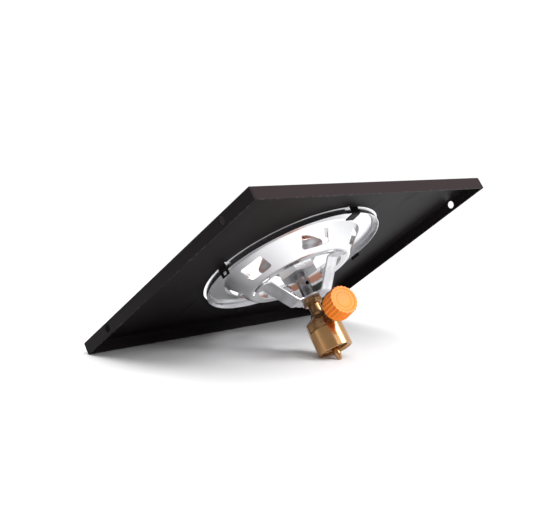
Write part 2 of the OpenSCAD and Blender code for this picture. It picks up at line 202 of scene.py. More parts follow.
def make_piece(name, patches, wall=0.0, edge=0.0, crease=32, even=True):
    """One object from patches in millimetres: doubles merge, normals turn outward, a sheet gets its wall and
    its edges a small round, and edges that turn by more than crease degrees stay sharp."""
    starts = np.cumsum([0] + [len(p.points) * len(p.points[0]) for p in patches])
    places = np.vstack([p.points.reshape(-1, 3) for p in patches]) * MM
    quads = np.vstack([p.quads(first) for p, first in zip(patches, starts)])
    mesh = bpy.data.meshes.new(name)
    mesh.from_pydata(places.tolist(), [], quads.tolist())
    work = bmesh.new()
    work.from_mesh(mesh)
    bmesh.ops.remove_doubles(work, verts=work.verts, dist=0.003 * MM)
    bmesh.ops.dissolve_degenerate(work, edges=work.edges, dist=0.01 * MM)
    bmesh.ops.delete(work, geom=[v for v in work.verts if not v.link_faces], context="VERTS")
    bmesh.ops.recalc_face_normals(work, faces=work.faces)
    work.to_mesh(mesh)
    work.free()
    mesh.validate()
    piece = add_object(name, mesh)
    if wall:
        solid = piece.modifiers.new("Wall", "SOLIDIFY")
        solid.thickness = wall * MM
        solid.offset = 0
        solid.use_even_offset = even
    if edge:
        bevel = piece.modifiers.new("Edges", "BEVEL")
        bevel.width = edge * MM
        bevel.segments = 2
        bevel.limit_method = "ANGLE"
        bevel.angle_limit = math.radians(40)
    settle(piece)
    piece.data.shade_smooth()
    piece.data.set_sharp_from_angle(angle=math.radians(crease))
    weighted = piece.modifiers.new("Normals", "WEIGHTED_NORMAL")
    weighted.keep_sharp = True
    settle(piece)
    return piece


def unit(vector):
    """The same direction, one long."""
    return vector / np.linalg.norm(vector)


def rounded(path, steps=6):
    """A path of (x, y) or (x, y, r) points, where a corner with an r becomes an arc that touches both legs:
    its middle lies r / sin(half the corner's angle) away, on the corner's bisector."""
    points = [np.array([path[0][:2]], float)]
    for before, here, after in zip(path, path[1:], path[2:]):
        tip = np.array(here[:2], float)
        if len(here) < 3:
            points.append(tip[None])
            continue
        back = unit(np.array(before[:2]) - tip)
        on = unit(np.array(after[:2]) - tip)
        half = math.acos(np.clip(back @ on, -1, 1)) / 2
        middle = tip + unit(back + on) * here[2] / math.sin(half)
        start, end = (tip + leg * here[2] / math.tan(half) - middle for leg in (back, on))
        first = math.atan2(start[1], start[0])
        sweep = (math.atan2(end[1], end[0]) - first + math.pi) % (2 * math.pi) - math.pi
        turn = first + sweep * np.linspace(0, 1, steps + 1)
        points.append(middle + here[2] * np.stack([np.cos(turn), np.sin(turn)], -1))
    points.append(np.array([path[-1][:2]], float))
    return np.vstack(points)


def ringed(path, steps=4):
    """A closed outline of (x, y, r) points with round corners: the path taken once round from mid-leg."""
    middle = [(path[0][0] + path[-1][0]) / 2, (path[0][1] + path[-1][1]) / 2]
    return rounded([middle, *path, middle], steps)[:-1]


def stepped(points, step):
    """The same line with points added, so that no leg is longer than step."""
    legs = zip(points, points[1:])
    counts = np.ceil(np.linalg.norm(np.diff(points, axis=0), axis=1) / step).astype(int)
    lines = [np.linspace(a, b, max(n, 1), endpoint=False) for (a, b), n in zip(legs, counts)]
    return np.vstack([*lines, points[-1:]])


def stepped_ring(points, step):
    """A closed outline with points added, so that no leg is longer than step."""
    return stepped(np.vstack([points, points[:1]]), step)[:-1]


def circle(count, start=0.0):
    """Angles of count equal steps round a circle, from start in degrees."""
    return math.radians(start) + np.arange(count) * 2 * math.pi / count


def hexagon(angles, corner_r, turn):
    """Distance from the middle to a hexagon's side: apothem / cos(angle from the side's middle)."""
    sixth = math.pi / 3
    off = (angles - math.radians(turn)) % sixth - sixth / 2
    return corner_r * math.cos(sixth / 2) / np.cos(off)


def grid(x, y, z):
    """Points from three coordinates, each stretched to the shape that they share."""
    return np.stack(np.broadcast_arrays(x, y, z), -1)


def polar(radius, angles, height):
    """Points (r cos a, r sin a, z)."""
    return grid(radius * np.cos(angles), radius * np.sin(angles), height)


def turned(profile, angles, limit=FAR):
    """Grid of a (radius, height) profile carried round Z: (r cos a, r sin a, z), where r is the smaller of
    the profile's radius and the limit, which may have a row for each angle."""
    return polar(np.minimum(profile[:, 0], limit), angles[:, None], profile[:, 1])


def lathe(profile, count, closed=False):
    """A profile, open or closed, turned round Z in count steps."""
    return Patch(turned(profile, circle(count)), True, closed)


def hex_nut(section, corner_r):
    """Grid of a nut: its closed section turned round Z and kept inside a hexagon."""
    angles = circle(144)
    return turned(stepped_ring(section, 0.3), angles, hexagon(angles, corner_r, 0)[:, None])


def on_spindle(points):
    """Carries points from an upright axis to the valve spindle's axis: Z goes along the spindle, X down."""
    side = np.array([-SPINDLE[1], SPINDLE[0], 0])
    down = np.array([0, 0, -1])
    middle = np.array([0, 0, SPINDLE_Z])
    return points[..., :1] * down + points[..., 1:2] * side + points[..., 2:] * SPINDLE + middle


def about_z(points, degrees):
    """Points turned about the Z axis."""
    return points @ np.array([*directions(degrees), UP])


def directions(azimuth):
    """Unit vectors outward from the Z axis and leftward round it, at an azimuth in degrees."""
    turn = math.radians(azimuth)
    outward = np.array([math.cos(turn), math.sin(turn), 0])
    return outward, np.array([-outward[1], outward[0], 0])


def box_distance(across, down, width, height, corner):
    """Signed distance to a rounded rectangle round zero, negative inside: the length of what reaches past
    the inner rectangle, less the corner's radius."""
    over = np.stack([np.abs(across) - width / 2 + corner, np.abs(down) - height / 2 + corner], -1)
    inside = np.minimum(over.max(-1), 0)
    return np.linalg.norm(np.maximum(over, 0), axis=-1) + inside - corner


def cut_opening(points, kept, middle, across, down, size, reach, depth=5):
    """Cuts a rounded rectangle (width, height, corner radius) out of a grid that closes on itself round Z.
    Points within reach of its edge move onto the edge, along the distance's own slope, and faces whose
    middle is inside it are dropped. Points farther than depth from its plane are left alone."""
    normal = np.cross(across, down)
    offset = points - middle
    near = np.abs(offset @ normal) < depth

    def distance(a, d):
        return box_distance(offset @ across + a, offset @ down + d, *size)

    nudge = 0.01
    gap = distance(0, 0)
    slope_a = (distance(nudge, 0) - distance(-nudge, 0)) / (2 * nudge)
    slope_d = (distance(0, nudge) - distance(0, -nudge)) / (2 * nudge)
    moved = (near & (np.abs(gap) < reach))[..., None]
    shift = gap[..., None] * (slope_a[..., None] * across + slope_d[..., None] * down)
    points = np.where(moved, points - shift, points)
    gap = np.where(near, box_distance((points - middle) @ across, (points - middle) @ down, *size), FAR)
    looped = np.vstack([gap, gap[:1]])
    mean = (looped[:-1, :-1] + looped[1:, :-1] + looped[1:, 1:] + looped[:-1, 1:]) / 4
    return points, kept & (mean > 0)


def every_face(points):
    """Keeps all faces of a grid that closes on itself round Z."""
    return np.ones((points.shape[0], points.shape[1] - 1), bool)


def round_hole(radius):
    """A round opening, as a rounded rectangle that is all corners."""
    return 2 * radius, 2 * radius, radius


# ---- the shader: sockets in arithmetic, and one method for every other node ----
class Value:
    """A socket that takes part in arithmetic; each operator adds one Math node."""

    def __init__(self, finish, socket):
        self.finish = finish
        self.socket = socket

    def __add__(self, other):
        return self.finish.math("ADD", self, other)

    def __sub__(self, other):
        return self.finish.math("SUBTRACT", self, other)

    def __rsub__(self, other):
        return self.finish.math("SUBTRACT", other, self)

    def __mul__(self, other):
        return self.finish.math("MULTIPLY", self, other)

    __radd__ = __add__
    __rmul__ = __mul__

    def rise(self, start, end):
        """0 up to start and 1 past end, with a smooth rise between; start may be above end."""
        sockets = {"Value": self, "From Min": start, "From Max": end}
        smooth = {"interpolation_type": "SMOOTHSTEP"}
        return self.finish.value("ShaderNodeMapRange", smooth, sockets, "Result")


class Finish:
    """One material's nodes round its surface shader. Uniform sockets are set on the shader itself."""

    def __init__(self, name, **uniform):
        self.material = bpy.data.materials.new(name)
        self.material.use_nodes = True
        self.tree = self.material.node_tree
        self.shader = self.tree.nodes["Principled BSDF"]
        for socket, value in uniform.items():
            self.shader.inputs[socket.replace("_", " ")].default_value = value
        self.place = self.node("ShaderNodeTexCoord", {}, {}).outputs["Object"]

    def plug(self, socket, value):
        """Links a socket or a Value, or sets a plain number, vector or colour."""
        if isinstance(value, Value):
            value = value.socket
        if isinstance(value, bpy.types.NodeSocket):
            self.tree.links.new(value, socket)
        elif socket.type == "RGBA" and len(value) == 3:
            socket.default_value = (*value, 1)
        else:
            socket.default_value = value

    def node(self, kind, settings, sockets):
        """Adds a node: its settings first, then the values or links of its sockets, by name or number."""
        node = self.tree.nodes.new(kind)
        for name, value in settings.items():
            setattr(node, name, value)
        for name, value in sockets.items():
            self.plug(node.inputs[name], value)
        return node

    def value(self, kind, settings, sockets, output):
        """A node's output, ready for arithmetic."""
        return Value(self, self.node(kind, settings, sockets).outputs[output])

    def math(self, operation, *terms):
        """A Math node on numbers and Values."""
        return self.value("ShaderNodeMath", {"operation": operation}, dict(enumerate(terms)), 0)

    def axes(self):
        """The place's X, Y and Z as Values."""
        split = self.node("ShaderNodeSeparateXYZ", {}, {"Vector": self.place})
        return [Value(self, split.outputs[axis]) for axis in "XYZ"]

    def noise(self, scale, detail=2.0, place=None, roughness=0.5):
        """Cloudy noise round 0.5, with scale in features per metre."""
        sockets = {"Vector": place or self.place, "Scale": scale, "Detail": detail, "Roughness": roughness}
        return self.value("ShaderNodeTexNoise", {}, sockets, 0)

    def streaks(self, scale, stretch):
        """Noise stretched along the axes: stretch shrinks the pattern's X, Y and Z before it is drawn."""
        place = self.node("ShaderNodeMapping", {}, {"Vector": self.place, "Scale": stretch}).outputs[0]
        return self.noise(scale, 2.0, place)

    def along(self, coordinate, scale):
        """Noise that changes with one coordinate only, as turning marks do."""
        line = self.node("ShaderNodeCombineXYZ", {}, {"X": coordinate}).outputs[0]
        return self.noise(scale, 1.0, line)

    def grains(self, scale):
        """Distance to the nearest of scattered points, for grains and specks."""
        return self.value("ShaderNodeTexVoronoi", {}, {"Vector": self.place, "Scale": scale}, "Distance")

    def radius(self, x, y):
        """Distance from an axis, from the two coordinates across it."""
        return self.math("SQRT", x * x + y * y)

    def mix(self, amount, first, second):
        """A colour between two, as a socket."""
        sockets = {"Factor": amount, 6: first, 7: second}
        return self.node("ShaderNodeMix", {"data_type": "RGBA"}, sockets).outputs[2]

    def vary(self, amount, tone, first, second):
        """One colour between two shades of itself, as a socket."""
        return self.mix(amount, shade(tone, first), shade(tone, second))

    def surface(self, colour, roughness, height, depth, strength=1.0):
        """Feeds the shader: base colour, roughness, and a bump of depth metres from height."""
        sockets = {"Strength": strength, "Distance": depth, "Height": height}
        bump = self.node("ShaderNodeBump", {}, sockets).outputs["Normal"]
        self.plug(self.shader.inputs["Base Color"], colour)
        self.plug(self.shader.inputs["Roughness"], roughness)
        self.plug(self.shader.inputs["Normal"], bump)
        return self.material


def cone_slope():
    """Unit vector down the bowl's cone, in radius and height."""
    return unit(np.array(CONE_FOOT) - np.array(SHELF))


def shade(tone, amount):
    """A colour made darker or lighter by a factor."""
    return tuple(min(1.0, c * amount) for c in tone)


# ---- finishes ----
def powder_coat(tones):
    """Black powder coat: fine orange peel, faint clouds of gloss, rubbed metal on the rim's cut edge, and a
    lighter, warmer tone on the front flange's outer side, which is a painted reflection."""
    f = Finish("black_powder_coat", Specular_IOR_Level=0.07)
    y, z = f.axes()[1:]
    clouds = f.noise(18, 3)
    peel = f.noise(620, 3)
    grain = f.noise(2600, 2)
    scuffs = f.streaks(90, (1, 0.08, 1)).rise(0.62, 0.74)
    front_side, rim = low("top_plate")[1:] * MM
    worn = z.rise(rim + 0.0006, rim + 0.0001) * f.noise(240, 3).rise(0.5, 0.62)
    # Painted reflection: the front flange's outer side gets a lighter, warmer tone, as if it mirrored
    # something warm.
    front = y.rise(front_side + 0.0006, front_side + 0.0002)
    base = f.vary(clouds, tones.powder, 0.8, 1.25)
    base = f.mix(front, base, shade((1.0, 0.62, 0.7), 0.021))
    base = f.mix(worn * 0.25, base, (0.12, 0.115, 0.115))
    roughness = 0.42 + clouds * 0.12 + grain * 0.06 + scuffs * 0.06
    return f.surface(base, roughness, peel * 0.8 + grain * 0.2, 0.00006, 0.6)


def chrome(tones):
    """Polished plating on spun sheet: faint rings, cloudy smudges and fine pits. The cone's inner side,
    found by its distance from the cone's mid surface, has clouds of copper brown towards the burner."""
    f = Finish("polished_chrome", Metallic=1.0)
    x, y, z = f.axes()
    reach = f.radius(x, y)
    slope = cone_slope()
    outside = (reach - SHELF[0] * MM) * -slope[1] + (z - SHELF[1] * MM) * slope[0]
    skin = outside.rise(0.00005, -0.00005) * outside.rise(-0.0007, -0.0005)
    inside = skin * z.rise(-0.005, -0.01) * reach.rise(0.05, 0.0508)
    rings = f.along(reach - z, 900)
    smudge = f.noise(30, 4)
    specks = f.grains(1300).rise(0.09, 0.05)
    # Clouds of copper brown on the cone's inner side, towards the burner.
    brown_clouds = inside * f.noise(45, 3).rise(0.12, 0.45)
    base = f.vary(smudge, tones.chrome, 0.92, 1.06)
    base = f.mix(specks * 0.35, base, shade(tones.chrome, 0.5))
    base = f.mix(brown_clouds * 0.95, base, shade(tones.tinted, 0.85))
    roughness = 0.12 + smudge * 0.12 + rings * 0.05 + brown_clouds * 0.12
    return f.surface(base, roughness, rings + specks * -0.6, 0.000012, 0.5)


def plated_steel(tones):
    """Satin zinc plating on cut sheet: fine grain with short rolling streaks and duller patches."""
    f = Finish("satin_plated_steel", Metallic=1.0)
    patches = f.noise(70, 4)
    grain = f.noise(1900, 2)
    rolling = f.streaks(700, (1, 1, 0.1))
    base = f.vary(patches.rise(0.35, 0.7), tones.plated, 0.82, 1.12)
    roughness = 0.26 + patches * 0.14 + rolling * 0.08
    return f.surface(base, roughness, grain * 0.5 + rolling * 0.5, 0.00003, 0.5)


def drawn_tube(tones):
    """Drawn tube: dark nickel with fine lengthwise draw marks and a few stains."""
    f = Finish("drawn_nickel_tube", Metallic=1.0)
    stains = f.noise(150, 4)
    draw = f.streaks(1500, (1, 1, 0.05))
    base = f.vary(stains.rise(0.4, 0.7), tones.plated, 0.75, 0.45)
    return f.surface(base, 0.14 + stains * 0.12 + draw * 0.06, draw, 0.00002, 0.4)


def burner_steel(tones):
    """Pressed burner steel: brushed, dulled by heat, sooted in its dish, darkened and dulled by painted
    shade on the underside of its floor, with a straw tint towards its rim."""
    f = Finish("burner_steel", Metallic=1.0)
    x, y, z = f.axes()
    clouds = f.noise(60, 4)
    rings = f.along(f.radius(x, y) + z, 1200)
    hot = z.rise(-0.001, 0.001) * clouds.rise(0.3, 0.6)
    dish = z.rise(-0.0125, -0.0115)
    underside = low("burner_cup")[2] * MM
    # Painted shade: the underside of the housing's floor is darkened, where shade falls under it.
    under = z.rise(underside + 0.0004, underside + 0.0001) * 0.6
    base = f.vary(clouds, tones.burner, 0.9, 1.1)
    base = f.mix(dish * 0.6, base, shade(tones.burner, 0.35))
    base = f.mix(under, base, shade(tones.burner, 0.25))
    base = f.mix(hot * 0.6, base, shade(tones.tinted, 0.9))
    roughness = 0.16 + clouds * 0.12 + rings * 0.06 + dish * 0.12 + under * 0.3
    return f.surface(base, roughness, rings, 0.00003, 0.4)


def heat_tint(tones):
    """Steel coloured by flame: copper brown, violet grey in clouds, and darker soot near the top."""
    f = Finish("heat_tinted_steel", Metallic=1.0)
    z = f.axes()[2]
    clouds = f.noise(85, 4)
    fine = f.noise(900, 3)
    soot = z.rise(0.004, 0.0085) * f.noise(160, 3).rise(0.42, 0.6)
    base = f.mix(clouds.rise(0.32, 0.8), tones.tinted, tones.tinted_cool)
    base = f.mix(soot * 0.6, base, (0.05, 0.045, 0.045))
    roughness = 0.3 + clouds * 0.15 + soot * 0.2
    return f.surface(base, roughness, fine, 0.00004, 0.5)


def support_steel(tones):
    """Stainless blades: brushed along their length, straw and blue where the flame reaches them."""
    f = Finish("support_steel", Metallic=1.0)
    reach = f.radius(*f.axes()[:2])
    clouds = f.noise(120, 3)
    brushed = f.streaks(900, (1, 1, 0.2))
    hot = reach.rise(0.042, 0.026) * (0.5 + clouds)
    base = f.vary(clouds, tones.support, 0.85, 1.12)
    base = f.mix(hot * 0.6, base, (0.32, 0.2, 0.13))
    roughness = 0.28 + clouds * 0.12 + brushed * 0.08
    return f.surface(base, roughness, brushed, 0.00003, 0.5)


def dull_brass(tones):
    """Handled brass: turning marks, brown tarnish in clouds and small dark spots."""
    f = Finish("handled_brass", Metallic=1.0)
    z = f.axes()[2]
    clouds = f.noise(190, 4)
    marks = f.along(z, 2200)
    spots = f.grains(700).rise(0.16, 0.08) * f.noise(240).rise(0.5, 0.6)
    base = f.vary(clouds.rise(0.38, 0.66), tones.dull_brass, 1, 0.5)
    base = f.mix(spots * 0.6, base, (0.09, 0.06, 0.04))
    roughness = 0.2 + clouds * 0.18 + spots * 0.2
    return f.surface(base, roughness, marks * 0.6 + spots * -0.6, 0.00003, 0.4)


def bright_brass(tones):
    """Turned brass: fine bright turning marks and a thin film of tarnish."""
    f = Finish("turned_brass", Metallic=1.0)
    x, y, z = f.axes()
    marks = f.along(z, 2600)
    ends = f.along(f.radius(x, y), 2600)
    film = f.noise(110, 4)
    base = f.vary(film.rise(0.3, 0.8), tones.bright_brass, 1, 0.85)
    roughness = 0.15 + film * 0.06 + marks * 0.1
    return f.surface(base, roughness, marks * 0.5 + ends * 0.5, 0.00002, 0.4)


def sintered_bronze(tones):
    """Sintered bronze: packed small grains with dark gaps."""
    f = Finish("sintered_bronze", Metallic=1.0)
    grain = f.grains(4200)
    base = f.vary(grain.rise(0.3, 0.6), tones.bronze, 1, 0.3)
    return f.surface(base, 0.45 + grain * 0.2, 1 - grain, 0.0001, 0.8)


def rubber(tones):
    """Black rubber: a fine moulded skin with grey bloom."""
    f = Finish("black_rubber", Specular_IOR_Level=0.35)
    bloom = f.noise(260, 4)
    skin = f.noise(3200, 2)
    base = f.vary(bloom.rise(0.45, 0.75), tones.rubber, 1, 2.6)
    return f.surface(base, 0.55 + bloom * 0.2, skin, 0.00003, 0.5)


def knob_plastic(tones):
    """Orange moulded plastic: fine spark grain with lighter specks, and faint flow marks."""
    f = Finish("orange_plastic", Subsurface_Weight=0.12, Subsurface_Scale=0.002, Specular_IOR_Level=0.35)
    f.shader.inputs["Subsurface Radius"].default_value = (1.0, 0.35, 0.1)
    flow = f.noise(75, 3)
    grain = f.noise(2400, 2)
    base = f.vary(flow, tones.knob, 0.9, 1.1)
    base = f.mix(grain.rise(0.6, 0.8) * 0.2, base, (1.0, 0.42, 0.12))
    return f.surface(base, 0.38 + flow * 0.1 + grain * 0.05, grain, 0.00003, 0.6)


FINISHES = {}
MAKERS = {
    "black_coat": powder_coat,
    "chrome_bowl": chrome,
    "plated_steel": plated_steel,
    "drawn_tube": drawn_tube,
    "burner_steel": burner_steel,
    "heat_tinted": heat_tint,
    "support_steel": support_steel,
    "dull_brass": dull_brass,
    "bright_brass": bright_brass,
    "filter_bronze": sintered_bronze,
    "seal_rubber": rubber,
    "orange_plastic": knob_plastic,
}


def finish(slot):
    """The finish of a material slot, made once."""
    if slot not in FINISHES:
        FINISHES[slot] = MAKERS[slot](bpy.context.scene.stove_colours)
    return FINISHES[slot]


def refinish(node, slot):
    """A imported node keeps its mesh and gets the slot's finish."""
    for place_on in frame["nodes"][node].material_slots:
        place_on.material = finish(slot)


def show(name, patches, nodes, slot, body="stove", look=None, **sheet):
    """Makes a piece that rides on its body and stands for its nodes, with its slot's finish or another
    look."""
    piece = make_piece(name, patches, **sheet)
    piece.data.materials.clear()
    piece.data.materials.append(finish(look or slot))
    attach(piece, body)
    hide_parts(*nodes)


# ---- operators, one for each piece or group of like pieces ----
class STOVE_OT_stage(bpy.types.Operator):
    """Pale floor under the tilted stove, a soft white surround, softboxes and the camera"""
    bl_idname = "stove.stage"
    bl_label = "Stage, light and camera"
    camera_place = Vector((-0.6603, -0.5586, -0.2694))
    camera_forward = Vector((0.7114, 0.6358, 0.2995)).normalized()
    camera_top = Vector((0.0834, -0.4995, 0.8623))
    lamp_aim = Vector((0, 0, -0.05))

    def execute(self, context):
        scene = context.scene
        up = self.floor_normal()
        self.surround(scene)
        self.floor(up)
        self.softboxes(up)
        self.camera(scene)
        return {"FINISHED"}

    def floor_normal(self):
        """The stove leans on the plate's back edge and on the stem's tip: the plane through both, facing the
        plate, along X."""
        edge = Vector(high("top_plate")[1:2].tolist() + [low("top_plate")[2]])
        tip = Vector((0, STEM_TIP))
        slope = (edge - tip).normalized()
        return Vector((0, -slope.y, slope.x))

    def floor(self, up):
        """A large pale sheet through the stem's tip, seen from its upper side only, that fades out with
        distance into the white surround."""
        half = 3.0
        along = Vector((1, 0, 0))
        across = up.cross(along)
        tip = Vector((0, 0, STEM_TIP * MM))
        signs = ((-1, -1), (1, -1), (1, 1), (-1, 1))
        corners = [tip + along * a * half + across * b * half for a, b in signs]
        mesh = bpy.data.meshes.new("floor")
        mesh.from_pydata([tuple(c) for c in corners], [], [(0, 1, 2, 3)])
        floor = add_object("floor", mesh)
        f = Finish("pale_floor", Specular_IOR_Level=0.3)
        cloud = f.noise(3, 2)
        tone = f.mix(cloud, (0.8, 0.8, 0.81), (0.84, 0.84, 0.85))
        f.surface(tone, 0.5 + cloud * 0.1, f.noise(900), 0.00002, 0.2)
        clear = f.node("ShaderNodeBsdfTransparent", {}, {}).outputs[0]
        back = f.node("ShaderNodeNewGeometry", {}, {}).outputs["Backfacing"]
        x, y, z = f.axes()
        reach = f.radius(f.radius(x, y), z)
        hidden = f.math("MAXIMUM", back, reach.rise(0.3, 0.75))
        sockets = {"Fac": hidden, 1: f.shader.outputs[0], 2: clear}
        both = f.node("ShaderNodeMixShader", {}, sockets).outputs[0]
        f.plug(f.tree.nodes["Material Output"].inputs["Surface"], both)
        floor.data.materials.append(f.material)

    def surround(self, scene):
        """A white wall behind the stove that falls off to grey behind the camera, where polished sheet
        looks."""
        scene.view_settings.view_transform = "Standard"
        scene.world = bpy.data.worlds.new("surround")
        scene.world.use_nodes = True
        nodes, links = scene.world.node_tree.nodes, scene.world.node_tree.links
        look = nodes.new("ShaderNodeTexCoord")
        ahead = nodes.new("ShaderNodeVectorMath")
        ahead.operation = "DOT_PRODUCT"
        ahead.inputs[1].default_value = self.camera_forward
        gain = nodes.new("ShaderNodeMapRange")
        for socket, number in (("From Min", -0.7), ("From Max", 0.75), ("To Min", 0.45), ("To Max", 1.05)):
            gain.inputs[socket].default_value = number
        links.new(look.outputs["Generated"], ahead.inputs[0])
        links.new(ahead.outputs["Value"], gain.inputs["Value"])
        links.new(gain.outputs[0], nodes["Background"].inputs["Strength"])
        nodes["Background"].inputs["Color"].default_value = (1, 1, 1, 1)

    def softboxes(self, up):
        """A key softbox to the camera's right, a weak one that upright metal mirrors, and a broad even light
        overhead that whitens the floor."""
        self.softbox("key", Vector((0.5, -1.2, 0.1)), 0.5, 14)
        self.softbox("strip", Vector((-0.27, -1.3, 0.42)), 0.4, 2)
        sky = bpy.data.lights.new("overhead", "SUN")
        sky.energy = 2.0
        sky.angle = math.radians(55)
        overhead = add_object("overhead", sky)
        overhead.rotation_euler = (up + Vector((-0.15, -0.25, 0))).to_track_quat("Z", "Y").to_euler()
        overhead.visible_glossy = False

    def softbox(self, name, where, size, watts):
        """A square area light that faces the stove."""
        light = bpy.data.lights.new(name, "AREA")
        light.size = size
        light.energy = watts
        lamp = add_object(name, light)
        lamp.location = where
        lamp.rotation_euler = (self.lamp_aim - where).to_track_quat("-Z", "Y").to_euler()

    def camera(self, scene):
        """The camera looks up at the plate's underside, from below and beside the knob."""
        forward = self.camera_forward
        right = forward.cross(self.camera_top).normalized()
        lens = bpy.data.cameras.new("camera")
        lens.lens = 67.41
        lens.sensor_width = 36
        lens.clip_start = 0.01
        camera = add_object("camera", lens)
        turn = Matrix((right, right.cross(forward), -forward)).transposed()
        camera.matrix_world = Matrix.Translation(self.camera_place) @ turn.to_4x4()
        scene.camera = camera


class STOVE_OT_plate(bpy.types.Operator):
    """Powder coat on the folded tray plate"""
    bl_idname = "stove.plate"
    bl_label = "Tray plate"

    def execute(self, context):
        refinish("top_plate", "black_coat")
        return {"FINISHED"}


class STOVE_OT_wind_bowl(bpy.types.Operator):
    """Spun wind bowl with its windows and folded lips"""
    bl_idname = "stove.wind_bowl"
    bl_label = "Wind bowl"

    def execute(self, context):
        sizes = context.scene.stove_sizes
        wall = sizes.bowl_sheet / MM
        lips = [lip for azimuth in WINDOW_AZIMUTHS for lip in self.lips(sizes, azimuth)]
        show("wind_bowl_shell", [self.shell(sizes)], ["wind_bowl"], "chrome_bowl", wall=wall, even=False)
        show("window_lips", lips, ["wind_bowl"], "chrome_bowl", wall=wall, edge=0.15)
        return {"FINISHED"}

    def shell(self, sizes):
        """The bowl's mid surface: a profile from the skirt's edge over the shelf and down the cone, turned
        round Z, with windows in the cone, ovals in the floor ring and a weep hole in the skirt. Rows and
        columns are closer at the weep hole."""
        path = [[*SKIRT_EDGE], [83.9, -0.3, 0.15], [81.4, -0.3, 0.8], [80, SHELF[1], 0.8], [*SHELF, 3],
                [*CONE_FOOT, 3.5], [FLOOR_HOLE_R, FLOOR_RING_Z]]
        coarse, fine, fine_band = 0.75, 0.2, 1.6
        weep_height, weep_azimuth, weep_r = -2.6, 108, 1.2
        rows = np.array([weep_height - fine_band, weep_height + fine_band])
        reach = np.interp(rows, [SKIRT_EDGE[1], path[1][1]], [SKIRT_EDGE[0], path[1][0]])
        near = np.stack([reach, rows], -1)
        line = rounded(path)
        profile = np.vstack([stepped(np.vstack([line[:1], near[:1]]), coarse)[:-1], stepped(near, fine)[:-1],
                             stepped(np.vstack([near[1:], line[1:]]), coarse)])
        weep_turn = math.radians(weep_azimuth)
        close = weep_turn + np.linspace(-1.7, 1.7, 18) / SKIRT_EDGE[0]
        far = circle(480)
        far = far[np.abs(far - weep_turn) > 2.0 / SKIRT_EDGE[0]]
        points = turned(profile, np.sort(np.concatenate([far, close])))
        kept = every_face(points)
        outward, across = directions(weep_azimuth)
        middle = outward * reach.mean() + UP * weep_height
        points, kept = cut_opening(points, kept, middle, across, UP, round_hole(weep_r), 0.13, 1)
        window = (sizes.window_width / MM, sizes.window_height / MM, WINDOW_CORNER)
        for azimuth in WINDOW_AZIMUTHS:
            points, kept = cut_opening(points, kept, *self.window_axes(azimuth), window, 0.5)
        oval, oval_turn = (9, 4.4, 2.1), 16
        for azimuth in ARM_AZIMUTHS:
            for side in (-oval_turn, oval_turn):
                outward, across = directions(azimuth + side)
                middle = outward * (FLOOR_HOLE_R + CONE_FOOT[0]) / 2 + UP * FLOOR_RING_Z
                points, kept = cut_opening(points, kept, middle, across, outward, oval, 0.42, 1)
        return Patch(points, around=True, kept=kept)

    def window_axes(self, azimuth):
        """A window's middle, and its directions round the bowl and down the cone."""
        slope = cone_slope()
        middle = np.array(SHELF) + slope * WINDOW_DOWN
        outward, across = directions(azimuth)
        return outward * middle[0] + UP * middle[1], across, outward * slope[0] + UP * slope[1]

    def lips(self, sizes, azimuth):
        """The lips at a window's two ends: a strip that leaves the cone along the sheet, bends into the bowl
        on a small radius, and runs on straight."""
        middle, across, down = self.window_axes(azimuth)
        bend, fold = 0.9, 78
        turn = np.radians(np.linspace(0, fold, 7))
        rest = sizes.window_lip / MM - bend * turn[-1]
        inward = bend * (1 - np.cos(turn))
        inward = np.append(inward, inward[-1] + rest * math.sin(turn[-1]))
        ahead = bend * np.sin(turn)
        ahead = np.append(ahead, ahead[-1] + rest * math.cos(turn[-1]))
        half = sizes.window_width / MM / 2
        span = np.linspace(-1, 1, 13) * (sizes.window_height / MM / 2 - WINDOW_CORNER)
        slope = cone_slope()
        into = np.cross(across, down)
        into = into * np.sign(into[2])
        lips = []
        for end in (-1, 1):
            hinge = middle + across * end * half + down * span[:, None]
            reach = np.hypot(hinge[:, 0], hinge[:, 1])
            hinge[:, 2] = SHELF[1] + (reach - SHELF[0]) * slope[1] / slope[0]
            rows = hinge[:, None] + inward[None, :, None] * into - ahead[None, :, None] * across * end
            lips.append(Patch(rows))
        return lips


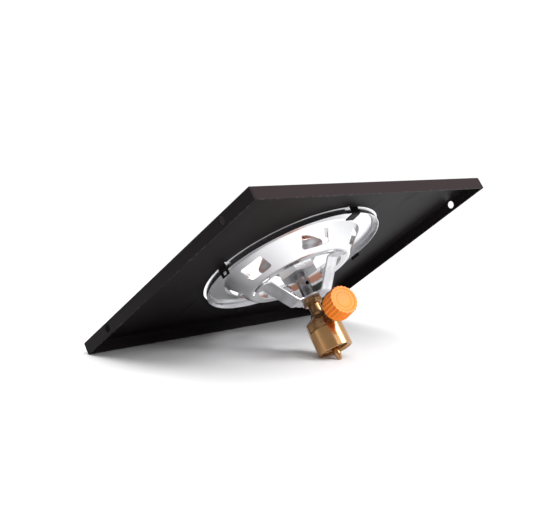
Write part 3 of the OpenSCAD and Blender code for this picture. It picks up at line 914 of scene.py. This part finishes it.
class STOVE_OT_bracket(bpy.types.Operator):
    """Three-armed sheet bracket under the bowl"""
    bl_idname = "stove.bracket"
    bl_label = "Arm bracket"

    def execute(self, context):
        """An arm is a strip along a bent path with a round end. Between two arms the hub is a fan from its
        bore out to the arm's root or to the hub's round edge."""
        sizes = context.scene.stove_sizes
        wall = sizes.arm_sheet / MM
        half = sizes.arm_width / MM / 2
        top, hub = ARM_TOP - wall / 2, HUB_BOTTOM + wall / 2
        foot, head, arm_end, tip_r = 17.2, 36.6, 50, 46
        hub_r, bore_r = 15.0, 4.7
        path = rounded([[0, hub], [foot, hub, 3], [head, top, 3], [arm_end, top]], 7)[1:-1]
        root = path[0, 0]
        third = 2 * math.pi / 3
        edge = math.atan2(half, root)
        shoulder = math.asin(half / hub_r)
        fan = np.concatenate([np.linspace(-edge, edge, 15), np.linspace(edge, shoulder, 5)[1:],
                              np.linspace(shoulder, third - shoulder, 19)[1:],
                              np.linspace(third - shoulder, third - edge, 5)[1:-1]])
        off = np.where(fan > third / 2, fan - third, fan)
        side = half / np.maximum(np.abs(np.sin(off)), 1e-6)
        outline = np.where(np.abs(off) <= edge + 1e-9, root / np.cos(off), np.maximum(hub_r, side))
        outline = np.where(np.abs(off) >= shoulder - 1e-9, hub_r, outline)
        sector = polar(bore_r + (outline - bore_r) * np.linspace(0, 1, 6)[:, None], fan, hub)
        across = root * np.tan(np.linspace(-edge, edge, 15))
        run = np.vstack([path[:1], stepped(np.vstack([path[1:], [[arm_end, top]]]), 2)])
        arm = grid(np.minimum(run[:, :1], np.sqrt(tip_r ** 2 - across ** 2)), across, run[:, 1:])
        patches = []
        for azimuth in ARM_AZIMUTHS:
            next_edge = about_z(sector[:, :1], azimuth + 120)
            patches.append(Patch(np.concatenate([about_z(sector, azimuth), next_edge], 1)))
            patches.append(Patch(about_z(arm, azimuth)))
        show("bracket", patches, ["arm_bracket"], "plated_steel", wall=wall, edge=0.3)
        return {"FINISHED"}


class STOVE_OT_mixing_tube(bpy.types.Operator):
    """Mixing tube with its air holes, and the washer that it stands on"""
    bl_idname = "stove.mixing_tube"
    bl_label = "Mixing tube"

    def execute(self, context):
        sizes = context.scene.stove_sizes
        wall, hole_z = 1.0, -30.0
        mid = sizes.tube_radius / MM - wall / 2
        profile = stepped(np.array([[mid, low("mixing_tube")[2]], [mid, high("mixing_tube")[2]]]), 0.35)
        points = turned(profile, circle(96))
        kept = every_face(points)
        for azimuth in (-105, 75):
            outward, across = directions(azimuth)
            hole = round_hole(sizes.air_hole / MM)
            points, kept = cut_opening(points, kept, outward * mid + UP * hole_z, across, UP, hole, 0.25, 3)
        show("mixing_tube_wall", [Patch(points, around=True, kept=kept)], ["mixing_tube"], "plated_steel",
             look="drawn_tube", wall=wall, edge=0.15)
        bottom, top, bore_r, edge_r = low("hub_washer")[2], high("hub_washer")[2], 4.7, 8.6
        ring = ringed([[bore_r, bottom, 0.1], [edge_r, bottom, 0.25], [edge_r, top, 0.25],
                       [bore_r, top, 0.1]])
        show("hub_washer_ring", [lathe(ring, 96, True)], ["hub_washer"], "plated_steel")
        return {"FINISHED"}


class STOVE_OT_burner(bpy.types.Operator):
    """Burner: six-sided housing with its dish, slotted crown, stamped cap and screw"""
    bl_idname = "stove.burner"
    bl_label = "Burner"

    def execute(self, context):
        self.cup()
        self.crown(context.scene.stove_sizes)
        self.cap()
        refinish("cap_screw", "plated_steel")
        return {"FINISHED"}

    def cup(self):
        """A closed profile turned round Z; up to the housing's top its radius stays inside a hexagon."""
        bottom = low("burner_cup")[2]
        housing_top, sheet, corner_r, turn = bottom + 7.5, 1.2, 18.5, 38
        outline = stepped_ring(ringed([
            [6.1, bottom, 0.3], [18.6, bottom, 0.7], [18.6, housing_top, 0.5], [16.6, housing_top, 0.2],
            [20.5, -8.6, 6], [26.8, -2.4, 6], [30.4, -0.6, 2], [31.8, 0.2, 0.5], [31.8, RIM_TOP, 0.4],
            [29.8, RIM_TOP, 0.3], [29.8, 0.4, 0.3], [26, -1.2, 4], [19.4, -7.6, 4], [14.2, -12, 1.5],
            [14.2, bottom + sheet, 0.8], [6.1, bottom + sheet, 0.2]]), 1.2)
        angles = circle(180, turn)
        above = outline[:, 1] > housing_top + 1e-6
        limit = np.where(above, FAR, hexagon(angles, corner_r, turn)[:, None])
        cup = Patch(turned(outline, angles, limit), True, True)
        show("burner_housing", [cup], ["burner_cup"], "burner_steel")

    def crown(self, sizes):
        """Between slots the section is a sloped wall; in a slot it steps in to the slot's floor. Each slot
        has a sample just inside and just outside both its edges."""
        crown_r, slot_at, just = high("burner_crown")[0], 28, 0.03
        slot_floor, slope_top = RIM_TOP + 0.4, CROWN_TOP - 0.15
        start = [[23, RIM_TOP], [crown_r, RIM_TOP], [crown_r, slot_floor]]
        end = [[20.5, CROWN_TOP], [20.5, CROWN_TOP - 1.6]]
        wall = np.array([*start, [crown_r, RIM_TOP + 0.7], [28.4, 4.5], [26, slope_top],
                         [25.8, CROWN_TOP], *end])
        slot = np.array([*start, [crown_r - 0.2, slot_floor], [24.6, slot_floor], [24.6, slope_top],
                         [24.6, CROWN_TOP], *end])
        half = sizes.flame_slot / MM / 2 / slot_at
        beat = 2 * math.pi / sizes.flame_slots
        near = np.array([-half * (1 - just), half * (1 - just), half * (1 + just), beat / 2,
                         beat - half * (1 + just)])
        in_slot = np.tile([True, True, False, False, False], sizes.flame_slots)[:, None, None]
        angles = (np.arange(sizes.flame_slots)[:, None] * beat + beat / 2 + near).reshape(-1)
        section = np.where(in_slot, slot, wall)
        ring = Patch(polar(section[..., 0], angles[:, None], section[..., 1]), True, True)
        boss = ringed([[1.5, 1.0, 0.1], [5, 1.0, 0.4], [5, CROWN_TOP, 0.2], [1.5, CROWN_TOP, 0.1]])
        spokes = [self.spoke(azimuth) for azimuth in (60, 180, 300)]
        show("crown_ring", [ring, lathe(boss, 48, True), *spokes], ["burner_crown"], "heat_tinted")

    def spoke(self, azimuth):
        """A flat bar with round edges, carried from the boss to the crown's ring and closed at both ends."""
        half, bottom, top = 1.8, CROWN_TOP - 2.2, CROWN_TOP - 0.05
        bar = ringed([[-half, bottom, 0.4], [half, bottom, 0.4], [half, top, 0.4], [-half, top, 0.4]])
        run = np.array([3.8, 4.0, 4.5, 21.0, 22.0, 22.0])
        size = np.array([0.0, 1.0, 1.0, 1.0, 1.0, 0.0])[:, None, None]
        middle = bar.mean(0)
        section = middle + (bar - middle) * size
        return Patch(about_z(grid(run[:, None], section[..., 0], section[..., 1]), azimuth), across=True)

    def cap(self):
        """A stamped lid: a low dome with a pressed ring round its screw."""
        radius = high("burner_cap")[0]
        outline = rounded([
            [0, CROWN_TOP], [radius, CROWN_TOP, 0.2], [radius, CROWN_TOP + 0.6, 0.25], [22, 8.4, 6],
            [15.5, 8.75, 1], [14.4, 8.35, 0.6], [12.6, 8.35, 0.6], [11.5, CAP_TOP - 0.1, 1], [8, CAP_TOP, 2],
            [0, CAP_TOP]])
        show("burner_lid", [lathe(outline, 144)], ["burner_cap"], "heat_tinted")


class STOVE_OT_pot_supports(bpy.types.Operator):
    """Three pot supports: notched blades on bent feet"""
    bl_idname = "stove.pot_supports"
    bl_label = "Pot supports"

    def execute(self, context):
        wall = context.scene.stove_sizes.support_sheet / MM
        for number, azimuth in enumerate(ARM_AZIMUTHS, 1):
            patches = [Patch(about_z(points, azimuth)) for points in self.blade(wall)]
            nodes = [f"pot_support_{number}"]
            show(f"support_blade_{number}", patches, nodes, "support_steel", wall=wall, edge=0.25)
        return {"FINISHED"}

    def blade(self, wall):
        """The blade spans its lower and its upper outline: at each distance out, points run from one to the
        other. Seven round notches dip the upper one. The foot bends out of the blade's plane."""
        top, bend_top, foot_z = SUPPORT_TOP, SHELF_TOP + 2.4, SHELF_TOP + wall / 2
        tip, level, taper, shoulder, neck, foot_in, drop, foot_out = 22, 25, 26, 62, 67, 69.0, 76.4, 79.4
        notches = 30 + 6.5 * np.arange(7)
        corners = np.array([tip, level, taper, shoulder, neck, foot_in, drop, foot_out])
        dips = (notches[:, None] + np.cos(np.linspace(math.pi, 0, 9))).reshape(-1)
        out = np.unique(np.round(np.concatenate([corners, dips, np.linspace(tip, foot_out, 40)]), 4))
        upper = np.interp(out, [tip, level, drop, foot_out], [top - 2, top, top, top - 3])
        gap = np.abs(out[:, None] - notches).min(1)
        upper = upper - np.sqrt(np.maximum(1 - gap ** 2, 0)) * (gap < 1)
        lower = np.interp(out, [tip, taper, shoulder, neck, foot_in - 0.4, foot_in, foot_out],
                          [top - 4, top - 6.4, top - 8, top - 11, bend_top + 1, bend_top, bend_top])
        height = lower[:, None] + (upper - lower)[:, None] * np.linspace(0, 1, 5)
        fold = rounded([[0, bend_top], [0, foot_z, 1.4], [8.25, foot_z]])
        leg = out[out >= foot_in][:, None]
        return [grid(out[:, None], 0.0, height), grid(leg, fold[:, 0], fold[:, 1])]


class STOVE_OT_valve(bpy.types.Operator):
    """Brass valve body with its lock nut and gland nut"""
    bl_idname = "stove.valve"
    bl_label = "Valve"

    def execute(self, context):
        self.body()
        self.lock_nut()
        self.gland_nut()
        refinish("valve_spindle", "bright_brass")
        refinish("gas_jet", "bright_brass")
        return {"FINISHED"}

    def body(self):
        """The body is a profile turned round Z and kept inside a hexagon, with the spindle's boss across
        it."""
        bottom, inlet, collar = CUP_TOP, CUP_FLOOR - 1, -58.0
        neck_r, collar_r, spigot_r, flange_r, hex_r, boss_r, seat_r = 4.6, 5.7, 7.9, 17.5, 17.3, 6.6, 4.55
        outline = stepped(rounded([
            [0, inlet], [spigot_r, inlet, 0.2], [spigot_r, bottom, 0.1], [15.9, bottom, 0.3],
            [flange_r, bottom + 0.9, 0.3], [flange_r, bottom + 6], [13.5, bottom + 9.5, 3],
            [8.4, bottom + 12.6, 3], [6.9, collar, 0.8], [collar_r, collar + 0.4, 0.3],
            [collar_r, NUT_BOTTOM, 0.1], [neck_r, NUT_BOTTOM, 0.1], [neck_r, NECK_TOP - 0.3, 0.3],
            [4.2, NECK_TOP, 0.1], [0, NECK_TOP]]), 0.8)
        turn = SPINDLE_AZIMUTH + 30
        angles = circle(180, turn)
        body = Patch(turned(outline, angles, hexagon(angles, hex_r, turn)[:, None]), around=True)
        boss = rounded([[0, 2.0], [boss_r, 2.0], [boss_r, BOSS_END, 0.5], [seat_r, BOSS_END, 0.2],
                        [seat_r, BOSS_END - 3], [0, BOSS_END - 3]])
        boss = Patch(on_spindle(turned(stepped(boss, 1.5), circle(96))), around=True)
        show("valve_block", [body, boss], ["valve_body"], "dull_brass")

    def lock_nut(self):
        """A hexagon cut back by a cone at both ends, with a chamfered bore."""
        top, bottom, bore_r = high("lock_nut")[2], NUT_BOTTOM, 4.65
        section = ringed([[bore_r, bottom, 0.3], [7.6, bottom, 0.2], [9.2, bottom + 0.9], [9.2, top - 0.9],
                          [7.6, top, 0.2], [bore_r, top, 0.3]])
        show("lock_nut_hex", [Patch(hex_nut(section, 8.9), True, True)], ["lock_nut"], "dull_brass")

    def gland_nut(self):
        """The nut that holds the spindle, along the spindle's axis."""
        start, end, bore_r = BOSS_END, BOSS_END + 3.2, 2.62
        section = ringed([[bore_r, start - 4, 0.1], [4.5, start - 4, 0.2], [4.5, start], [7.2, start, 0.1],
                          [7.2, end - 0.7], [6, end, 0.2], [bore_r, end, 0.3]])
        nut = Patch(on_spindle(hex_nut(section, 7)), True, True)
        show("gland_nut_hex", [nut], ["gland_nut"], "bright_brass")


class STOVE_OT_canister_fitting(bpy.types.Operator):
    """Threaded canister cup, inlet stem, gasket, seals and filter"""
    bl_idname = "stove.canister_fitting"
    bl_label = "Canister fitting"

    def execute(self, context):
        self.cup(context.scene.stove_sizes)
        self.stem()
        for seal in ("cup_gasket", "stem_seal", "spindle_seal"):
            refinish(seal, "seal_rubber")
        refinish("gas_filter", "filter_bronze")
        return {"FINISHED"}

    def cup(self, sizes):
        """Turned wall with a real thread inside: in the threaded stretch the radius rises and falls with
        height less pitch times the turn, fading out at both ends."""
        thread_r, thread_low, thread_high = 12.2, CUP_BOTTOM + 2.3, -80.2
        relief_r, relief_low = 12.9, -79.8
        pitch, depth = sizes.thread_pitch / MM, sizes.thread_depth / MM
        outline = stepped(rounded([
            [0, CUP_FLOOR], [relief_r, CUP_FLOOR, 0.3], [relief_r, relief_low, 0.3], [thread_r, thread_high],
            [thread_r, thread_low - 0.3], [14.4, CUP_BOTTOM + 0.6, 0.3], [14.5, CUP_BOTTOM, 0.2],
            [CUP_R, CUP_BOTTOM, 0.5], [CUP_R, CUP_TOP, 0.8], [0, CUP_TOP]]), 0.16)
        turn = circle(144)[:, None]
        reach, height = outline.T
        inside = (reach < 13.6) & (height < thread_high + 0.1) & (height > thread_low - 0.4)
        fade = np.clip(np.minimum(height - thread_low, thread_high - height) / pitch, 0, 1) * inside
        beat = (height - pitch * turn / (2 * math.pi)) / pitch % 1
        groove = depth * np.clip(2.2 * np.abs(beat - 0.5) - 0.05, 0, 1) * fade
        cup = Patch(polar(reach + groove, turn, height), around=True)
        show("threaded_cup", [cup], ["canister_cup"], "bright_brass")

    def stem(self):
        """The stem's profile turned round Z: a rounded tip with its gas hole, a long taper, a groove."""
        stem_r, bore_r, groove_r, flange_r = 3.2, 0.7, 2.5, 4.6
        groove, hole_end, flange, end = -92.0, STEM_TIP + 6, CUP_FLOOR - 3.4, CUP_FLOOR - 1
        outline = rounded([
            [bore_r, hole_end], [bore_r, STEM_TIP, 0.2], [1.4, STEM_TIP, 0.4], [2.0, STEM_TIP + 1.0, 1.2],
            [stem_r, -99, 2.5], [stem_r, groove - 1, 0.1], [groove_r, groove - 1, 0.1],
            [groove_r, groove + 1, 0.1], [stem_r, groove + 1, 0.1], [stem_r, flange, 0.1],
            [flange_r, flange, 0.2], [flange_r, end], [0, end]])
        outline = stepped(np.vstack([[[0, hole_end]], outline]), 0.6)
        show("stem_pin", [lathe(outline, 72)], ["inlet_stem"], "bright_brass")


class STOVE_OT_knob(bpy.types.Operator):
    """Scalloped plastic knob"""
    bl_idname = "stove.knob"
    bl_label = "Knob"

    def execute(self, context):
        """A profile along the spindle, cut back round its edge by a ring of round grooves; where a groove
        and the rim meet, the smaller radius is blended over a short distance."""
        back, front, radius = 25.6, 43.3, 13.4
        groove_at, groove_r, soft = radius + 0.6, 1.6, 0.12
        outline = stepped(rounded([
            [0, back], [11.6, back, 0.5], [12.6, back + 0.8, 1.0], [radius, back + 3, 2.5],
            [radius, front - 0.5, 0.4], [radius - 0.5, front, 0.5],
            [10.8, front, 0.6], [9.9, front - 0.45, 0.6], [7.6, front - 0.5, 0.4], [7.1, front - 0.3, 0.3],
            [6.6, front - 0.5, 0.4], [4.2, front - 0.55, 1], [0, front - 0.55]]), 0.7)
        count = context.scene.stove_sizes.scallops
        beat = 2 * math.pi / count
        angles = circle(count * 14)[:, None]
        off = (angles % beat) - beat / 2
        inner = groove_r ** 2 - (groove_at * np.sin(off)) ** 2
        cut = np.where(inner > 0, groove_at * np.cos(off) - np.sqrt(np.maximum(inner, 0)), FAR)
        reach, height = outline.T
        mix = np.clip(0.5 + (reach - cut) / (2 * soft), 0, 1)
        smaller = reach * (1 - mix) + cut * mix - soft * mix * (1 - mix)
        grip = Patch(on_spindle(polar(np.where(inner > 0, smaller, reach), angles, height)), around=True)
        show("knob_grip", [grip], ["knob"], "orange_plastic", body="knob")
        return {"FINISHED"}


PIECES = (
    STOVE_OT_stage, STOVE_OT_plate, STOVE_OT_wind_bowl, STOVE_OT_bracket, STOVE_OT_mixing_tube,
    STOVE_OT_burner, STOVE_OT_pot_supports, STOVE_OT_valve, STOVE_OT_canister_fitting, STOVE_OT_knob,
)


class STOVE_PT_pieces(bpy.types.Panel):
    """Lists the stove's pieces"""
    bl_idname = "STOVE_PT_pieces"
    bl_label = "Canister stove"
    bl_space_type = "VIEW_3D"
    bl_region_type = "UI"
    bl_category = "Stove"

    def draw(self, context):
        for piece in PIECES:
            self.layout.operator(piece.bl_idname)


CLASSES = (StoveSizes, StoveColours, *PIECES, STOVE_PT_pieces)


def register():
    for cls in CLASSES:
        bpy.utils.register_class(cls)
    bpy.types.Scene.stove_sizes = PointerProperty(type=StoveSizes)
    bpy.types.Scene.stove_colours = PointerProperty(type=StoveColours)


def unregister():
    del bpy.types.Scene.stove_sizes
    del bpy.types.Scene.stove_colours
    for cls in reversed(CLASSES):
        bpy.utils.unregister_class(cls)


def main():
    """Makes every piece in turn."""
    register()
    for piece in PIECES:
        group, name = piece.bl_idname.split(".")
        getattr(getattr(bpy.ops, group), name)()


if __name__ == "__main__":
    main()
